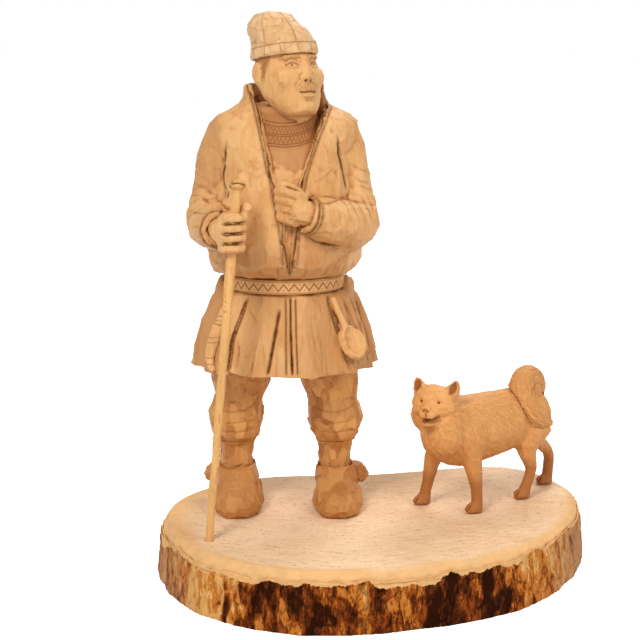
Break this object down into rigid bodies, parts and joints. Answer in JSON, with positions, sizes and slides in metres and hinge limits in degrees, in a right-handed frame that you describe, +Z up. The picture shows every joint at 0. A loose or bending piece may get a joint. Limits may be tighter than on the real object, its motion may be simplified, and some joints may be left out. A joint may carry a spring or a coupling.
{
  "type": "man and dog sculpture",
  "caption": "Carved wooden sculpture of a standing man in hat, jacket and belted skirt holding a lift-out staff, with a dog at his side, on a bark-edged slice of log.",
  "frame": {"origin": "middle of the log slice's footprint, on the surface that it stands on", "axes": "+Z up, the man faces -Y, his staff hand is on the -X side and the dog on the +X side"},
  "size_m": [0.3194, 0.2616, 0.4024],
  "materials": {
    "carved_wood": "knife-cut, thin stain",
    "slab_wood": "sanded end grain",
    "bark": "rough bark, clear varnish",
    "staff_wood": "whittled",
    "steel": "plain"
  },
  "bodies": {
    "sculpture": {"base_slab": "slab_wood", "bark_rind": "bark", "torso": "carved_wood", "head": "carved_wood", "hat": "carved_wood", "skirt": "carved_wood", "belt": "carved_wood", "right_arm": "carved_wood", "left_arm": "carved_wood", "right_hand": "carved_wood", "left_hand": "carved_wood", "right_leg": "carved_wood", "left_leg": "carved_wood", "right_boot": "carved_wood", "left_boot": "carved_wood", "right_boot_tassel": "carved_wood", "left_boot_tassel": "carved_wood", "knife_handle": "carved_wood", "knife_sheath": "carved_wood", "spoon": "carved_wood", "dog_body": "carved_wood", "dog_tail": "carved_wood", "right_boot_screw": "steel", "left_boot_screw": "steel", "dog_front_left_pin": "steel", "dog_rear_left_pin": "steel"},
    "staff": {"staff": "staff_wood"}
  },
  "joints": [
    {"name": "staff_lift", "type": "slide", "parent": "sculpture", "child": "staff", "axis": [0.0852, 0.0678, 0.9941], "range_m": [0, 0.26]}
  ]
}
